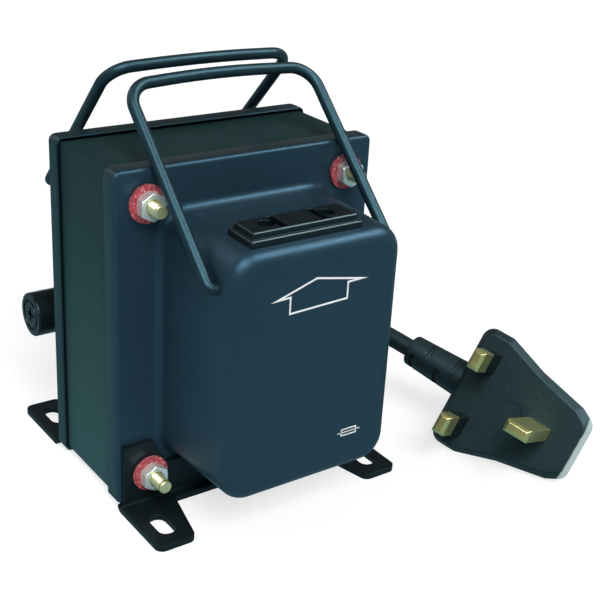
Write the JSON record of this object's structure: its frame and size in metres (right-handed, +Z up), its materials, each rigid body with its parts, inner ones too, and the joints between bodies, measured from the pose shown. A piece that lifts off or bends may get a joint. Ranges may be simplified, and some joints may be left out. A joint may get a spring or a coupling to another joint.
{
  "type": "step-down voltage converter",
  "caption": "Carry-handled step-down transformer with pressed metal covers, slotted feet, folding carry rods, a top outlet, a fuse holder and a corded mains plug.",
  "frame": {"origin": "on the floor, below the middle of the case without the cord and plug", "axes": "+X to the right seen from the outlet side, +Y to the rear, +Z up"},
  "size_m": [0.1436, 0.2359, 0.1221],
  "materials": {
    "core": "satin, laminated edges",
    "former": "moulded",
    "winding": "enamelled wire",
    "tape": "wrapped tape",
    "cover": "satin powder coat",
    "foot": "satin black paint",
    "stud": "yellow zinc plated",
    "fibre": "red fibre",
    "nut": "bright zinc plated",
    "rod": "dark plated",
    "outlet": "moulded black",
    "brass": "bright",
    "holder": "moulded black",
    "glass": "clear",
    "cord": "satin sheath",
    "plug": "moulded, lightly grained"
  },
  "bodies": {
    "case": {"core_e_stack": "core", "core_i_stack": "core", "coil_former": "former", "primary_winding": "winding", "secondary_winding": "winding", "winding_tape": "tape", "front_cover": "cover", "rear_cover": "cover", "front_foot_bracket": "foot", "rear_foot_bracket": "foot", "upper_studs": "stud", "lower_studs": "stud", "fibre_washers": "fibre", "hex_nuts": "nut", "outlet_body": "outlet", "outlet_contacts": "brass", "fuse_holder_body": "holder", "fuse_holder_nut": "holder", "cord_gland": "cord", "cord_from_gland": "cord", "cord_coil": "cord", "cord_to_plug": "cord", "plug_body": "plug", "plug_live_pins": "brass", "plug_pin_sleeves": "plug", "plug_earth_pin": "brass", "plug_screw": "plug"},
    "front_rod": {"front_carry_rod": "rod"},
    "rear_rod": {"rear_carry_rod": "rod"},
    "fuse_link": {"fuse_glass_tube": "glass", "fuse_end_caps": "nut"},
    "fuse_knob": {"fuse_cap": "holder"}
  },
  "joints": [
    {"name": "front_rod_swing", "type": "hinge", "parent": "case", "child": "front_rod", "pos_m": [0, -0.0472, 0.0761], "axis": [1, 0, 0], "range_deg": [0, 217.5]},
    {"name": "rear_rod_swing", "type": "hinge", "parent": "case", "child": "rear_rod", "pos_m": [0, 0.0472, 0.0761], "axis": [-1, 0, 0], "range_deg": [-2.9, 214.5]},
    {"name": "fuse_pull", "type": "slide", "parent": "case", "child": "fuse_link", "axis": [-1, 0, 0], "range_m": [0, 0.024]},
    {"name": "fuse_cap_turn", "type": "hinge", "parent": "fuse_link", "child": "fuse_knob", "pos_m": [-0.03, 0.036, 0.0385], "axis": [-1, 0, 0], "range_deg": [0, 90]}
  ]
}
